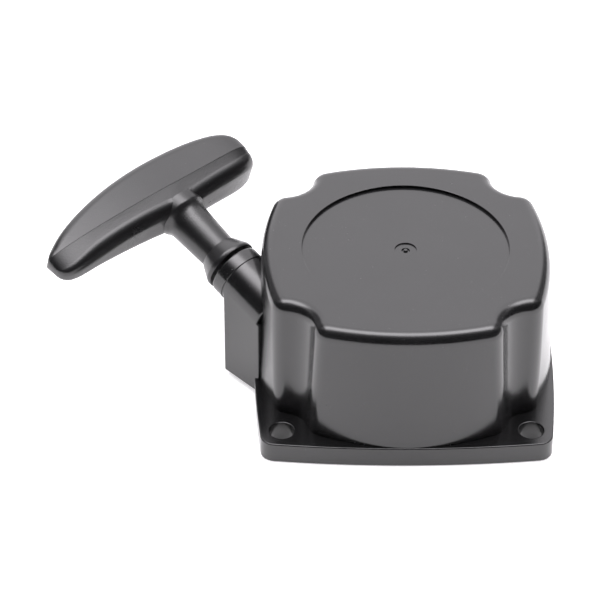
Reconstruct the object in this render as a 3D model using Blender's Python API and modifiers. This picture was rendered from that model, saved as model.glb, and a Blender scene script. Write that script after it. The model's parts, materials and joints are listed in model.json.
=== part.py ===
"""Recoil starter of a small engine: a square moulded housing with a rope outlet and a T-grip.

Metres, +Z up. The housing stands on its mounting face at z = 0 and the grip leaves it up and to
the left. Parts hang on empties: the crank axis, the rope's exit axis, the pawls' pivots and the
places of the cover's screws. The origin is the centre of the footprint of the whole object.
"""

import math

import bmesh
import bpy
from mathutils import Matrix, Vector

# Where the crank axis stands in the object's frame
CRANK_X = 0.02701
CRANK_Y = -0.00338

# Flange
FLANGE_HALF = 0.0400
FLANGE_SIDE_RADIUS = 0.322
FLANGE_CORNER = 0.0040
FLANGE_TOP = 0.0058
BOLT_PITCH = 0.0650
BOLT_HOLE = 0.0032

# Cup: four shallow lobes with a scooped corner round each bolt
CUP_TOP = 0.0410
CUP_FILLET = 0.0030
FOOT_HALF = 0.0396
FOOT_LOBE = 0.055
FOOT_SCOOP = 0.0069
SHOULDER_HALF = 0.0379
SHOULDER_LOBE = 0.078
SHOULDER_SCOOP = 0.0084
LOBE_CORNER = 0.0045
RECESS_RADIUS = 0.02715
RECESS_DEPTH = 0.0006
GATE_RADIUS = 0.0029
GATE_DEPTH = 0.0002
SPRUE_RADIUS = 0.0009
SPRUE_DEPTH = 0.0003

# Hollow inside the cup
CHAMBER_RADIUS = 0.0345
ROOF_UNDERSIDE = 0.0380
SPRING_RIM_BOTTOM = 0.0312
SPRING_CHAMBER = 0.0270
SPRING_RIM_OUTER = 0.0292
POST_RADIUS = 0.0060
POST_BOTTOM = 0.0094
INSERT_RADIUS = 0.0037
INSERT_TOP = 0.0210
BOSS_RADIUS = 0.0024
BOSS_CIRCLE = 0.0312
BOSS_HOLE = 0.0012
BOSS_HOLE_TOP = 0.0372
SPRING_SLOT = (0.0040, 0.0026, 0.0080)
SPRING_SLOT_LEVEL = 0.0345

# Rope and its way out
ROPE_RADIUS = 0.0015
WRAP_RADIUS = 0.0294
GROOVE_MIDDLE = 0.0220
LAYER_STEP = 0.0032
EXIT_HEADING = math.radians(133.0)
EXIT_TILT = math.radians(17.7)
EXIT_RUN = 0.0348
EXIT_HEIGHT = 0.0299
TUBE_RADIUS = 0.0072
MOUTH_RADIUS = 0.00747
MOUTH_CHAMFER = 0.0006
TUBE_LENGTH = 0.0175
LIP_SEAT = 0.0023
GUIDE_SEAT = 0.0138
ROPE_TUNNEL = 0.0032
TUNNEL_LENGTH = 0.0260
GUSSET_BOTTOM = 0.0013
GUSSET_SHORT = 0.0037

# Guide bush pressed into the outlet, and the recoil spring
GUIDE_BODY = 0.0040
GUIDE_LIP = 0.0057
GUIDE_BORE = 0.0021
GUIDE_FACE = 0.0006
LIP_THICKNESS = 0.0014
GUIDE_LENGTH = 0.0134
SPRING_TURNS = 9.0
SPRING_INNER = 0.0100
SPRING_OUTER = 0.0263
SPRING_START = math.radians(200)
SPRING_END = SPRING_START + math.tau * SPRING_TURNS
SPRING_GAP = 0.0006
STRIP_THICKNESS = 0.0005
INNER_HOOK = 0.0012
OUTER_HOOK = 0.0018
COVER_RADIUS = 0.0336
COVER_BOTTOM = SPRING_RIM_BOTTOM - 0.0009
COVER_HOLE = 0.0013
COVER_SCREW_END = 0.0360
COVER_SCREW_SHANK = 0.0009
COVER_SCREW_HEAD = 0.0021
COVER_SCREW_RIM = 0.0006
COVER_SCREW_HEIGHT = 0.0010

# Reel
REEL_RADIUS = 0.0330
GROOVE_WIDTH = 0.0098
CHEEK = 0.0015
REEL_BOTTOM = GROOVE_MIDDLE - GROOVE_WIDTH / 2 - CHEEK
DRUM_RADIUS = 0.0212
DRUM_INNER = 0.0190
WEB_THICKNESS = 0.0018
HUB_RADIUS = 0.0095
REEL_BORE = 0.0063
NOSE_RADIUS = 0.0073
WINDOW_CIRCLE = 0.0142
WINDOW_RADIUS = 0.0030
HUB_NOTCH = (0.0020, 0.0024, 0.0080)
HUB_NOTCH_LEVEL = 0.0348
KNOT_BEND = 0.0040
RAMP_TURNS = 0.14
LEAD_EASE = 0.0040
LEAD_POINTS = 24

# Pawls and ratchet guide
PAWL_PIVOT = 0.0130
PAWL_BOTTOM = 0.0098
PAWL_TOP = 0.0136
PAWL_REST = math.radians(-20.0)
PAWL_HALF_WIDTH = 0.0022
STUD_RADIUS = 0.0020
SPRING_WIRE = 0.0003
SPRING_COIL = 0.0027
SPRING_ANCHOR = (-0.0085, 0.0014)
ANCHOR_RADIUS = 0.0009
PAWL_EYE = 0.0036
CLAW_HEEL = 0.0104
CLAW_TIP = 0.0132
SPRING_HOOK = 0.0080
GUIDE_RADIUS = 0.0135
GUIDE_TOP = 0.0091
GUIDE_THICKNESS = 0.0020
GUIDE_HOLE = 0.0030
PEG_CIRCLE = 0.0110
PEG_RADIUS = 0.0012
PEG_ANGLE = math.radians(31.5)

# Centre screw, washer and friction spring, from the engine side upwards
HEAD_RADIUS = 0.0044
HEAD_BOTTOM = 0.0005
HEAD_TOP = 0.0025
SHANK_RADIUS = 0.0024
WASHER_BOTTOM = 0.0028
WASHER_TOP = 0.0038
WASHER_BORE = 0.0027
WASHER_RADIUS = 0.0066
CROSS_SLOT = (0.0050, 0.0010, 0.0024)
FRICTION_WIRE = 0.0004
FRICTION_COIL = 0.0042

# Grip, measured from the outlet's mouth along the exit axis
GAP = 0.0008
COLLAR_END = 0.0060
NECK_ROOT = 0.0207
NECK_END = 0.0240
GRIP_LONG = 0.0417
GRIP_SHORT = 0.0275
GRIP_PARTING = 0.0274
GRIP_PALM = 0.0106
GRIP_FINGERS = 0.0057
GRIP_PALM_EDGE = 0.0026
GRIP_FINGER_EDGE = 0.0036
GRIP_DRAFT = 0.12
GRIP_HALF_THICK = 0.00715
KNOT_POCKET = 0.0045
KNOT_SEAT = 0.0295
KNOT_RADIUS = 0.0026

CLEAR = 0.0003
ROUND = 48
SMALL_ROUND = 20

exit_dir = Vector((math.cos(EXIT_HEADING), math.sin(EXIT_HEADING), 0.0))
exit_side = Vector((math.sin(EXIT_HEADING), -math.cos(EXIT_HEADING), 0.0))
tangent_point = -WRAP_RADIUS * exit_side


# ---------------------------------------------------------------- scene and materials

def clear_scene():
    for obj in list(bpy.data.objects):
        bpy.data.objects.remove(obj, do_unlink=True)


def new_collection(name, hidden=False):
    made = bpy.data.collections.new(name)
    bpy.context.scene.collection.children.link(made)
    made.hide_render = hidden
    return made


def material(name, colour, roughness, metallic=0.0):
    made = bpy.data.materials.new(name)
    made.use_nodes = True
    shader = made.node_tree.nodes["Principled BSDF"]
    shader.inputs["Base Color"].default_value = (*colour, 1.0)
    shader.inputs["Roughness"].default_value = roughness
    shader.inputs["Metallic"].default_value = metallic
    return made


def empty(name, matrix):
    made = bpy.data.objects.new(name, None)
    parts.objects.link(made)
    made.matrix_world = matrix
    made.hide_render = True
    return made


def place(name, mesh, look, parent):
    """A part whose mesh is in its parent's frame."""
    obj = bpy.data.objects.new(name, mesh)
    parts.objects.link(obj)
    obj.parent = parent
    mesh.materials.clear()
    mesh.materials.append(look)
    mesh.shade_smooth()
    mesh.set_sharp_from_angle(angle=math.radians(35))
    return obj


def cutter(name, mesh, parent):
    obj = bpy.data.objects.new(name, mesh)
    cutters.objects.link(obj)
    obj.parent = parent
    obj.hide_render = True
    obj.display_type = "WIRE"
    return obj


def combine(target, tool, operation):
    boolean = target.modifiers.new(f"{operation.lower()} {tool.name}", "BOOLEAN")
    boolean.operation = operation
    boolean.object = tool
    boolean.solver = "EXACT"


# ---------------------------------------------------------------- shapes

def mesh_from(bm, name):
    bmesh.ops.recalc_face_normals(bm, faces=bm.faces)
    if bm.calc_volume(signed=True) < 0:
        bmesh.ops.reverse_faces(bm, faces=bm.faces)
    mesh = bpy.data.meshes.new(name)
    bm.to_mesh(mesh)
    bm.free()
    return mesh


def loft(name, rings):
    """Closed skin over rings of equal point counts, flat at both ends."""
    bm = bmesh.new()
    rows = [[bm.verts.new(point) for point in ring] for ring in rings]
    count = len(rows[0])
    for lower, upper in zip(rows, rows[1:]):
        for i in range(count):
            j = (i + 1) % count
            bm.faces.new((lower[i], lower[j], upper[j], upper[i]))
    bm.faces.new(rows[0])
    bm.faces.new(rows[-1])
    return mesh_from(bm, name)


def prism(name, outline, low, high):
    """A flat outline raised from z = low to z = high."""
    rings = [[Vector((x, y, z)) for x, y in outline] for z in (low, high)]
    return loft(name, rings)


def cylinder(name, radius, low, high, centre=(0.0, 0.0), segments=SMALL_ROUND):
    bm = bmesh.new()
    middle = Matrix.Translation((centre[0], centre[1], (low + high) / 2))
    bmesh.ops.create_cone(
        bm,
        cap_ends=True,
        segments=segments,
        radius1=radius,
        radius2=radius,
        depth=high - low,
        matrix=middle,
    )
    return mesh_from(bm, name)


def block(name, size, centre, turn=0.0):
    bm = bmesh.new()
    bmesh.ops.create_cube(bm, size=1.0, matrix=Matrix.Diagonal((*size, 1.0)))
    bm.transform(Matrix.Rotation(turn, 4, "Z") @ Matrix.Translation(centre))
    return mesh_from(bm, name)


def turned(name, profile, look, parent, steps=ROUND, closed=True):
    """A turned part. The profile is (radius, z), down its outer side from top to bottom."""
    mesh = bpy.data.meshes.new(name)
    count = len(profile)
    edges = [(i, i + 1) for i in range(count - 1)]
    if closed:
        edges.append((count - 1, 0))
    mesh.from_pydata([(radius, 0.0, z) for radius, z in profile], edges, [])
    if look is None:
        obj = cutter(name, mesh, parent)
    else:
        obj = bpy.data.objects.new(name, mesh)
        parts.objects.link(obj)
        obj.parent = parent
        mesh.materials.append(look)
    screw = obj.modifiers.new("turn", "SCREW")
    screw.angle = math.tau
    screw.steps = steps
    screw.render_steps = steps
    screw.use_merge_vertices = True
    screw.merge_threshold = 0.00001
    screw.use_smooth_shade = look is not None
    return obj


def tube(name, points, radius, look, parent):
    """A round cord or wire with closed ends along a list of points."""
    curve = bpy.data.curves.new(name, "CURVE")
    curve.dimensions = "3D"
    curve.bevel_depth = radius
    curve.bevel_resolution = 2
    curve.use_fill_caps = True
    spline = curve.splines.new("POLY")
    spline.points.add(len(points) - 1)
    for place_of, point in zip(spline.points, points):
        place_of.co = (*point, 1.0)
    curve.materials.append(look)
    obj = bpy.data.objects.new(name, curve)
    parts.objects.link(obj)
    obj.parent = parent
    return obj


def arc(centre, radius, start, end, count):
    """Points on an arc, its last one left out."""
    return [
        (
            centre[0] + radius * math.cos(start + (end - start) * i / count),
            centre[1] + radius * math.sin(start + (end - start) * i / count),
        )
        for i in range(count)
    ]


def quarter_turns(points):
    """The same run of points on each of the four sides."""
    found = []
    for side in range(4):
        c, s = math.cos(side * math.pi / 2), math.sin(side * math.pi / 2)
        found += [(x * c - y * s, x * s + y * c) for x, y in points]
    return found


def smooth(t):
    t = min(1.0, max(0.0, t))
    return t * t * (3 - 2 * t)


# ---------------------------------------------------------------- housing

def flange_outline():
    """A square with bowed sides and round corners."""
    side_centre = FLANGE_HALF - FLANGE_SIDE_RADIUS
    reach = FLANGE_SIDE_RADIUS - FLANGE_CORNER
    corner = (side_centre + math.sqrt(2 * reach**2 - side_centre**2)) / 2
    bow = math.atan2(corner, corner - side_centre)
    points = arc((side_centre, 0.0), FLANGE_SIDE_RADIUS, -bow, bow, 6)
    points += arc((corner, corner), FLANGE_CORNER, bow, math.pi / 2 - bow, 6)
    return quarter_turns(points)


def cup_outline(half, lobe_radius, scoop, corner):
    """Four lobes joined round the bolts: lobe arc, round corner, scoop, round corner."""
    lobe_centre = half - lobe_radius
    bolt = BOLT_PITCH / 2
    to_lobe = lobe_radius - corner
    to_bolt = scoop + corner
    apart = math.hypot(bolt - lobe_centre, bolt)
    along = (to_lobe**2 - to_bolt**2 + apart**2) / (2 * apart)
    across = math.sqrt(to_lobe**2 - along**2)
    slope = math.atan2(bolt, bolt - lobe_centre)
    turn = slope - math.atan2(across, along)
    corner_x = lobe_centre + to_lobe * math.cos(turn)
    corner_y = to_lobe * math.sin(turn)
    facing_bolt = math.atan2(bolt - corner_y, bolt - corner_x)
    from_bolt = facing_bolt + math.pi
    to_next = math.pi / 2 - from_bolt + math.tau
    points = arc((lobe_centre, 0.0), lobe_radius, -turn, turn, 10)
    points += arc((corner_x, corner_y), corner, turn, facing_bolt, 4)
    points += arc((bolt, bolt), scoop, from_bolt, to_next, 8)
    points += arc((corner_y, corner_x), corner, math.pi / 2 - facing_bolt, math.pi / 2 - turn, 4)
    return quarter_turns(points)


def cup_rings():
    """The cup's sections from inside the flange to its flat top, with a round top edge."""
    rings = []
    shoulder = CUP_TOP - CUP_FILLET
    for level in (0.0020, FLANGE_TOP, shoulder):
        share = (level - FLANGE_TOP) / (shoulder - FLANGE_TOP)
        half = FOOT_HALF + (SHOULDER_HALF - FOOT_HALF) * share
        lobe = FOOT_LOBE + (SHOULDER_LOBE - FOOT_LOBE) * share
        scoop = FOOT_SCOOP + (SHOULDER_SCOOP - FOOT_SCOOP) * share
        outline = cup_outline(half, lobe, scoop, LOBE_CORNER)
        rings.append([Vector((x, y, level)) for x, y in outline])
    steps = 4
    for i in range(1, steps + 1):
        angle = math.pi / 2 * i / steps
        inset = CUP_FILLET * (1 - math.cos(angle))
        level = shoulder + CUP_FILLET * math.sin(angle)
        outline = cup_outline(
            SHOULDER_HALF - inset,
            SHOULDER_LOBE - inset,
            SHOULDER_SCOOP + inset,
            LOBE_CORNER - inset,
        )
        rings.append([Vector((x, y, level)) for x, y in outline])
    return rings


def gusset_mesh():
    """The upright slab that carries the outlet tube, outside the cup and a little way into it."""
    end = EXIT_RUN - GUSSET_SHORT
    start = EXIT_RUN * 0.50
    slope = math.tan(EXIT_TILT)
    profile = [
        (start, GUSSET_BOTTOM),
        (end, GUSSET_BOTTOM),
        (end, EXIT_HEIGHT + (end - EXIT_RUN) * slope),
        (start, EXIT_HEIGHT + (start - EXIT_RUN) * slope),
    ]
    rings = []
    for side in (-TUBE_RADIUS, TUBE_RADIUS):
        wall = tangent_point + exit_side * side
        rings.append([wall + exit_dir * run + Vector((0, 0, z)) for run, z in profile])
    return loft("gusset", rings)


def make_housing(crank, outlet):
    housing = place("housing", prism("housing", flange_outline(), 0.0, FLANGE_TOP), black_plastic, crank)
    combine(housing, cutter("cup", loft("cup", cup_rings()), crank), "UNION")
    combine(housing, cutter("gusset", gusset_mesh(), crank), "UNION")
    tube_profile = [
        (0.0, 0.0),
        (MOUTH_RADIUS - MOUTH_CHAMFER, 0.0),
        (MOUTH_RADIUS, -MOUTH_CHAMFER),
        (MOUTH_RADIUS, -GUSSET_SHORT),
        (TUBE_RADIUS, -GUSSET_SHORT),
        (TUBE_RADIUS, -TUBE_LENGTH),
        (0.0, -TUBE_LENGTH),
    ]
    combine(housing, turned("outlet_tube", tube_profile, None, outlet, 32, closed=False), "UNION")
    hollow = [
        (0.0, INSERT_TOP + 0.0005),
        (INSERT_RADIUS + CLEAR, INSERT_TOP + 0.0005),
        (INSERT_RADIUS + CLEAR, POST_BOTTOM),
        (POST_RADIUS, POST_BOTTOM),
        (POST_RADIUS, ROOF_UNDERSIDE),
        (SPRING_CHAMBER, ROOF_UNDERSIDE),
        (SPRING_CHAMBER, SPRING_RIM_BOTTOM),
        (SPRING_RIM_OUTER, SPRING_RIM_BOTTOM),
        (SPRING_RIM_OUTER, ROOF_UNDERSIDE),
        (CHAMBER_RADIUS, ROOF_UNDERSIDE),
        (CHAMBER_RADIUS, -0.001),
        (0.0, -0.001),
    ]
    combine(housing, turned("hollow", hollow, None, crank, closed=False), "DIFFERENCE")
    for number in range(3):
        at = polar(BOSS_CIRCLE, boss_angle(number))
        boss = cylinder("screw_boss", BOSS_RADIUS, SPRING_RIM_BOTTOM, ROOF_UNDERSIDE + 0.001, at, 12)
        combine(housing, cutter(f"screw_boss_{number + 1}", boss, crank), "UNION")
        hole = cylinder("boss_hole", BOSS_HOLE, SPRING_RIM_BOTTOM - 0.001, BOSS_HOLE_TOP, at, 12)
        combine(housing, cutter(f"boss_hole_{number + 1}", hole, crank), "DIFFERENCE")
    gate = CUP_TOP - RECESS_DEPTH - GATE_DEPTH
    recess = [
        (0.0, CUP_TOP + 0.001),
        (RECESS_RADIUS, CUP_TOP + 0.001),
        (RECESS_RADIUS, CUP_TOP - RECESS_DEPTH),
        (GATE_RADIUS, CUP_TOP - RECESS_DEPTH),
        (GATE_RADIUS, gate),
        (SPRUE_RADIUS, gate),
        (SPRUE_RADIUS, gate - SPRUE_DEPTH),
        (0.0, gate - SPRUE_DEPTH),
    ]
    combine(housing, turned("top_recess", recess, None, crank, closed=False), "DIFFERENCE")
    bore = [
        (0.0, 0.001),
        (GUIDE_LIP + CLEAR, 0.001),
        (GUIDE_LIP + CLEAR, -LIP_SEAT),
        (GUIDE_BODY + CLEAR, -LIP_SEAT),
        (GUIDE_BODY + CLEAR, -GUIDE_SEAT),
        (ROPE_TUNNEL, -GUIDE_SEAT),
        (ROPE_TUNNEL, -TUNNEL_LENGTH),
        (0.0, -TUNNEL_LENGTH),
    ]
    combine(housing, turned("rope_tunnel", bore, None, outlet, 24, closed=False), "DIFFERENCE")
    bolt = BOLT_PITCH / 2
    for number, (sx, sy) in enumerate(((-1, -1), (1, -1), (1, 1), (-1, 1))):
        hole = cylinder("bolt_hole", BOLT_HOLE, -0.001, FLANGE_TOP + 0.002, (sx * bolt, sy * bolt), 24)
        combine(housing, cutter(f"bolt_hole_{number + 1}", hole, crank), "DIFFERENCE")
    slot = block("slot", SPRING_SLOT, (SPRING_CHAMBER + 0.001, 0.0, SPRING_SLOT_LEVEL), SPRING_END)
    combine(housing, cutter("spring_anchor_slot", slot, crank), "DIFFERENCE")
    return housing


def polar(radius, angle):
    return (radius * math.cos(angle), radius * math.sin(angle))


def boss_angle(number):
    return math.radians(80 + 120 * number)


def make_rope_guide(outlet):
    profile = [
        (GUIDE_BORE, -GUIDE_FACE),
        (GUIDE_LIP - 0.0005, -GUIDE_FACE),
        (GUIDE_LIP, -GUIDE_FACE - 0.0004),
        (GUIDE_LIP, -GUIDE_FACE - LIP_THICKNESS),
        (GUIDE_BODY, -GUIDE_FACE - LIP_THICKNESS),
        (GUIDE_BODY, -GUIDE_LENGTH),
        (GUIDE_BORE + 0.0005, -GUIDE_LENGTH),
        (GUIDE_BORE, -GUIDE_LENGTH + 0.0010),
    ]
    turned("rope_guide", profile, steel, outlet, 24)


def make_post_insert(crank):
    top = INSERT_TOP
    low = POST_BOTTOM + CLEAR
    bore = SHANK_RADIUS + CLEAR
    profile = [(bore, top), (INSERT_RADIUS, top), (INSERT_RADIUS, low), (bore, low)]
    turned("post_insert", profile, brass, crank, 24)


# ---------------------------------------------------------------- recoil spring and its cover

def make_mainspring(crank):
    """A flat strip coiled from the hub's notch out to the slot in the spring rim."""
    low = SPRING_RIM_BOTTOM + SPRING_GAP
    high = ROOF_UNDERSIDE - SPRING_GAP
    per_turn = 22
    steps = int(SPRING_TURNS * per_turn)
    path = [polar(SPRING_INNER - INNER_HOOK, SPRING_START)]
    for i in range(steps + 1):
        share = i / steps
        radius = SPRING_INNER + (SPRING_OUTER - SPRING_INNER) * share
        path.append(polar(radius, SPRING_START + math.tau * SPRING_TURNS * share))
    path.append(polar(SPRING_OUTER + OUTER_HOOK, SPRING_END))
    bm = bmesh.new()
    lower = [bm.verts.new((x, y, low)) for x, y in path]
    upper = [bm.verts.new((x, y, high)) for x, y in path]
    for i in range(len(path) - 1):
        bm.faces.new((lower[i], lower[i + 1], upper[i + 1], upper[i]))
    mesh = mesh_from(bm, "mainspring")
    spring = place("mainspring", mesh, spring_steel, crank)
    solidify = spring.modifiers.new("strip", "SOLIDIFY")
    solidify.thickness = STRIP_THICKNESS
    solidify.offset = 0.0


def make_spring_cover(crank):
    low = COVER_BOTTOM
    high = SPRING_RIM_BOTTOM - CLEAR
    inner = HUB_RADIUS + 0.0008
    profile = [(inner, high), (COVER_RADIUS, high), (COVER_RADIUS, low), (inner, low)]
    cover = turned("spring_cover", profile, steel, crank)
    for number in range(3):
        at = polar(BOSS_CIRCLE, boss_angle(number))
        hole = cylinder("cover_hole", COVER_HOLE, low - 0.001, high + 0.001, at, 12)
        combine(cover, cutter(f"cover_hole_{number + 1}", hole, crank), "DIFFERENCE")
        head_top = low - 0.0001
        profile = [
            (0.0, COVER_SCREW_END),
            (COVER_SCREW_SHANK, COVER_SCREW_END),
            (COVER_SCREW_SHANK, head_top),
            (COVER_SCREW_HEAD, head_top),
            (COVER_SCREW_HEAD, head_top - COVER_SCREW_RIM),
            (COVER_SCREW_HEAD - COVER_SCREW_RIM, head_top - COVER_SCREW_HEIGHT),
            (0.0, head_top - COVER_SCREW_HEIGHT),
        ]
        place_of = crank.matrix_world @ Matrix.Translation((*at, -0.0001))
        holder = empty(f"cover_screw_place_{number + 1}", place_of)
        turned(f"cover_screw_{number + 1}", profile, steel, holder, 12, closed=False)


# ---------------------------------------------------------------- reel and rope

def pawl_point(number, x, y, z):
    """A point of the frame of one pawl (pivot at its origin, arm along +x) in the reel's frame."""
    turn = math.pi * number
    c, s = math.cos(PAWL_REST), math.sin(PAWL_REST)
    px, py = x * c - y * s, x * s + y * c + PAWL_PIVOT
    return (px * math.cos(turn) - py * math.sin(turn), px * math.sin(turn) + py * math.cos(turn), z)


def make_reel(crank):
    groove_low = GROOVE_MIDDLE - GROOVE_WIDTH / 2
    groove_high = GROOVE_MIDDLE + GROOVE_WIDTH / 2
    top = groove_high + CHEEK
    hub_top = ROOF_UNDERSIDE - 0.0010
    web_top = REEL_BOTTOM + WEB_THICKNESS
    nose = GUIDE_TOP + CLEAR
    profile = [
        (REEL_BORE, hub_top),
        (HUB_RADIUS, hub_top),
        (HUB_RADIUS, web_top),
        (DRUM_INNER, web_top),
        (DRUM_INNER, top),
        (REEL_RADIUS, top),
        (REEL_RADIUS, groove_high),
        (DRUM_RADIUS, groove_high),
        (DRUM_RADIUS, groove_low),
        (REEL_RADIUS, groove_low),
        (REEL_RADIUS, REEL_BOTTOM),
        (NOSE_RADIUS, REEL_BOTTOM),
        (NOSE_RADIUS, nose),
        (REEL_BORE, nose),
    ]
    reel = turned("reel", profile, grey_plastic, crank)
    for number in range(2):
        stud_at = pawl_point(number, 0.0, 0.0, 0.0)[:2]
        stud = cylinder("stud", STUD_RADIUS, GUIDE_TOP + 0.0004, REEL_BOTTOM + 0.001, stud_at, 16)
        combine(reel, cutter(f"pawl_stud_{number + 1}", stud, crank), "UNION")
        anchor_at = pawl_point(number, *SPRING_ANCHOR, 0.0)[:2]
        anchor = cylinder("anchor", ANCHOR_RADIUS, PAWL_TOP + 0.0004, REEL_BOTTOM + 0.001, anchor_at, 10)
        combine(reel, cutter(f"spring_anchor_{number + 1}", anchor, crank), "UNION")
    for number in range(4):
        at = polar(WINDOW_CIRCLE, math.radians(20 + 90 * number))
        window = cylinder("window", WINDOW_RADIUS, REEL_BOTTOM - 0.001, web_top + 0.001, at, 16)
        combine(reel, cutter(f"reel_window_{number + 1}", window, crank), "DIFFERENCE")
    notch = block("notch", HUB_NOTCH, (HUB_RADIUS - 0.0003, 0.0, HUB_NOTCH_LEVEL), SPRING_START)
    combine(reel, cutter("hub_notch", notch, crank), "DIFFERENCE")
    middle = ((DRUM_INNER + DRUM_RADIUS) / 2, KNOT_BEND * 0.65, knot_level())
    slot = block("drum_slot", (0.0050, KNOT_BEND * 1.8, 0.0037), middle, winding_end_angle())
    combine(reel, cutter("rope_slot", slot, crank), "DIFFERENCE")
    return reel


def knot_level():
    """The third layer stops half way down the groove, where the rope turns in to its knot."""
    return GROOVE_MIDDLE + LAYER_STEP - 1.5 * LAYER_STEP


def exit_angle():
    return math.atan2(tangent_point.y, tangent_point.x)


def winding_layers():
    """Turns, radius, level at the start and level at the end of each layer, from the outside in."""
    low, high = GROOVE_MIDDLE - LAYER_STEP, GROOVE_MIDDLE + LAYER_STEP
    return [
        (1.0, WRAP_RADIUS, GROOVE_MIDDLE, low),
        (2.0, WRAP_RADIUS - LAYER_STEP, low, high),
        (1.5, WRAP_RADIUS - 2 * LAYER_STEP, high, knot_level()),
    ]


def winding_end_angle():
    turns = sum(layer[0] for layer in winding_layers()) + 2 * RAMP_TURNS
    return exit_angle() + CLEAR / WRAP_RADIUS + math.tau * turns


def winding_points():
    """The rope on the reel, from the point where it leaves it inwards to its knot behind the drum."""
    per_turn = 36
    angle = exit_angle() + CLEAR / WRAP_RADIUS
    points = []
    layers = winding_layers()
    for index, (turns, radius, start, end) in enumerate(layers):
        count = int(turns * per_turn)
        for i in range(count + 1):
            share = i / count
            points.append((*polar(radius, angle + math.tau * turns * share), start + (end - start) * share))
        angle += math.tau * turns
        if index < len(layers) - 1:
            for i in range(1, 4):
                share = i / 4
                down = radius - LAYER_STEP * smooth(share)
                points.append((*polar(down, angle + math.tau * RAMP_TURNS * share), end))
            angle += math.tau * RAMP_TURNS
    out = Vector((*polar(1.0, angle), 0.0))
    along = Vector((-out.y, out.x, 0.0))
    bend_centre = out * (layers[-1][1] - KNOT_BEND) + Vector((0.0, 0.0, knot_level()))
    for i in range(1, 6):
        turn = math.pi / 2 * i / 5
        points.append(bend_centre + KNOT_BEND * (out * math.cos(turn) + along * math.sin(turn)))
    points.append(bend_centre + KNOT_BEND * along - out * 0.0020)
    return points


def lead_points():
    """The rope from the reel, level until it has cleared the windings, then up the exit axis."""
    slope = math.tan(EXIT_TILT)
    start = 2 * CLEAR
    end = EXIT_RUN + KNOT_SEAT * math.cos(EXIT_TILT)
    bend = EXIT_RUN - (EXIT_HEIGHT - GROOVE_MIDDLE) / slope
    points = []
    for i in range(LEAD_POINTS + 1):
        run = start + (end - start) * i / LEAD_POINTS
        past = max(0.0, min(run - bend + LEAD_EASE, 2 * LEAD_EASE))
        rise = slope * (past**2 / (4 * LEAD_EASE) + max(0.0, run - bend - LEAD_EASE))
        points.append(tangent_point + exit_dir * run + Vector((0, 0, GROOVE_MIDDLE + rise)))
    return points


def knot(name, centre, parent):
    """A plain rounded body for an overhand knot."""
    bm = bmesh.new()
    bmesh.ops.create_uvsphere(bm, u_segments=12, v_segments=8, radius=KNOT_RADIUS)
    bm.transform(Matrix.Translation(centre))
    place(name, mesh_from(bm, name), rope_black, parent)


def make_rope(crank, outlet):
    tube("rope_windings", winding_points(), ROPE_RADIUS, rope_black, crank)
    tube("rope_lead", lead_points(), ROPE_RADIUS, rope_black, crank)
    angle = winding_end_angle()
    out = Vector((*polar(1.0, angle), 0.0))
    along = Vector((-out.y, out.x, 0.0))
    inner = winding_layers()[-1][1] - KNOT_BEND - 0.0020
    centre = out * (inner - KNOT_RADIUS - CLEAR) + along * KNOT_BEND + Vector((0.0, 0.0, knot_level()))
    knot("rope_knot_reel", centre, crank)
    knot("rope_knot_grip", (0.0, 0.0, KNOT_SEAT + CLEAR + KNOT_RADIUS), outlet)


# ---------------------------------------------------------------- pawls and ratchet guide

def pawl_outline():
    """Round eye about the pivot and an arm along +x that ends in a claw."""
    start = math.radians(40)
    end = math.radians(320)
    points = arc((0.0, 0.0), PAWL_EYE, start, end, 12)
    return points + [
        polar(PAWL_EYE, end),
        (CLAW_HEEL, -PAWL_HALF_WIDTH),
        (CLAW_TIP, 0.0002),
        (CLAW_TIP - 0.0002, PAWL_HALF_WIDTH),
    ]


def make_pawls(crank):
    for number in range(2):
        pivot = Matrix.Translation(pawl_point(number, 0.0, 0.0, 0.0))
        turn = Matrix.Rotation(PAWL_REST + math.pi * number, 4, "Z")
        holder = empty(f"pawl_pivot_{number + 1}", crank.matrix_world @ pivot @ turn)
        name = f"pawl_{number + 1}"
        pawl = place(name, prism(name, pawl_outline(), PAWL_BOTTOM, PAWL_TOP), steel, holder)
        eye = cylinder("eye", STUD_RADIUS + CLEAR, PAWL_BOTTOM - 0.001, PAWL_TOP + 0.001)
        combine(pawl, cutter(f"pawl_eye_{number + 1}", eye, holder), "DIFFERENCE")
        tube(f"pawl_spring_{number + 1}", pawl_spring_points(), SPRING_WIRE, spring_steel, holder)


def pawl_spring_points():
    """A hook over the arm's outer edge, a turn round the stud, and a leg against the anchor."""
    low = PAWL_TOP + CLEAR + SPRING_WIRE
    high = REEL_BOTTOM - CLEAR - SPRING_WIRE
    edge = PAWL_HALF_WIDTH + CLEAR + SPRING_WIRE
    points = [
        (SPRING_HOOK, edge, PAWL_BOTTOM + 0.0012),
        (SPRING_HOOK, edge, low - 0.0004),
        (SPRING_HOOK - 0.0004, edge, low),
        (0.0030, SPRING_COIL, low),
    ]
    count = 16
    for i in range(count + 1):
        share = i / count
        points.append((*polar(SPRING_COIL, math.pi / 2 + math.tau * share), low + (high - low) * share))
    points.append((SPRING_ANCHOR[0] - 0.0012, SPRING_COIL, high))
    return points


def make_ratchet_guide(crank):
    low = GUIDE_TOP - GUIDE_THICKNESS
    profile = [
        (GUIDE_HOLE, GUIDE_TOP),
        (GUIDE_RADIUS, GUIDE_TOP),
        (GUIDE_RADIUS, low + 0.0004),
        (GUIDE_RADIUS - 0.0004, low),
        (GUIDE_HOLE, low),
    ]
    guide = turned("ratchet_guide", profile, grey_plastic, crank)
    for number in range(2):
        at = polar(PEG_CIRCLE, PEG_ANGLE + math.pi * number)
        peg = cylinder("peg", PEG_RADIUS, GUIDE_TOP - 0.001, PAWL_TOP - CLEAR, at, 12)
        combine(guide, cutter(f"guide_peg_{number + 1}", peg, crank), "UNION")


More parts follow.
